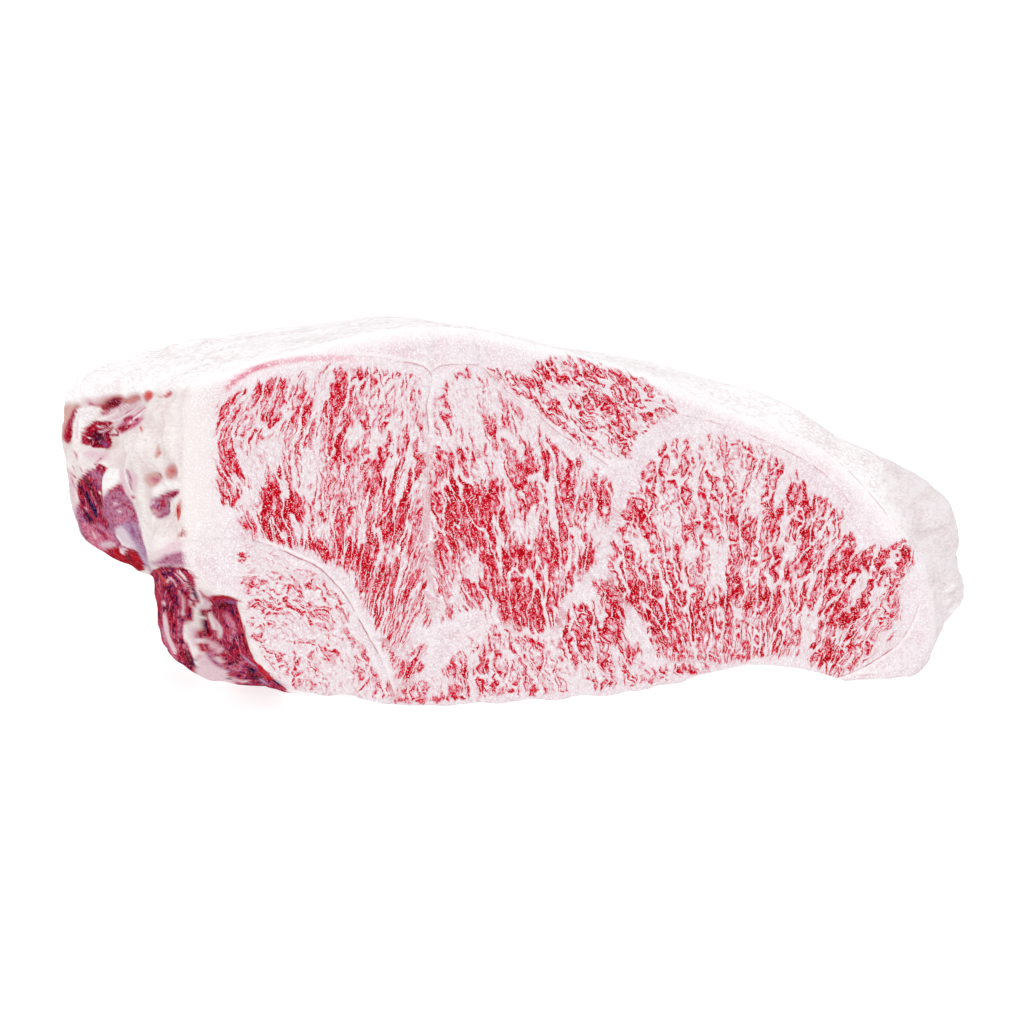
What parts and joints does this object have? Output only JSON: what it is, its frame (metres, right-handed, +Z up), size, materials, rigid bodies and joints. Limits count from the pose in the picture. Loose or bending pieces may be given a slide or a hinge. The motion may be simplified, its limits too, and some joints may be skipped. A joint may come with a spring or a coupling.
{
  "type": "raw marbled beef sirloin block",
  "caption": "Thick block of raw beef sirloin, cut straight across, with marbled muscles, a white fat cap and a ragged chine side.",
  "frame": {"origin": "middle of the block's bounding box at the level it rests on", "axes": "+Z up, towards the fat cap; the front cut face looks along -Y; +X towards the thin tail end, -X towards the ragged chine side"},
  "size_m": [0.299, 0.1074, 0.1255],
  "materials": {
    "raw_beef": "moist raw flesh: crimson lean with dense white marbling, near-white waxy fat cap and seams, soft wet gloss"
  },
  "bodies": {
    "root": {"sirloin": "raw_beef"}
  },
  "joints": []
}
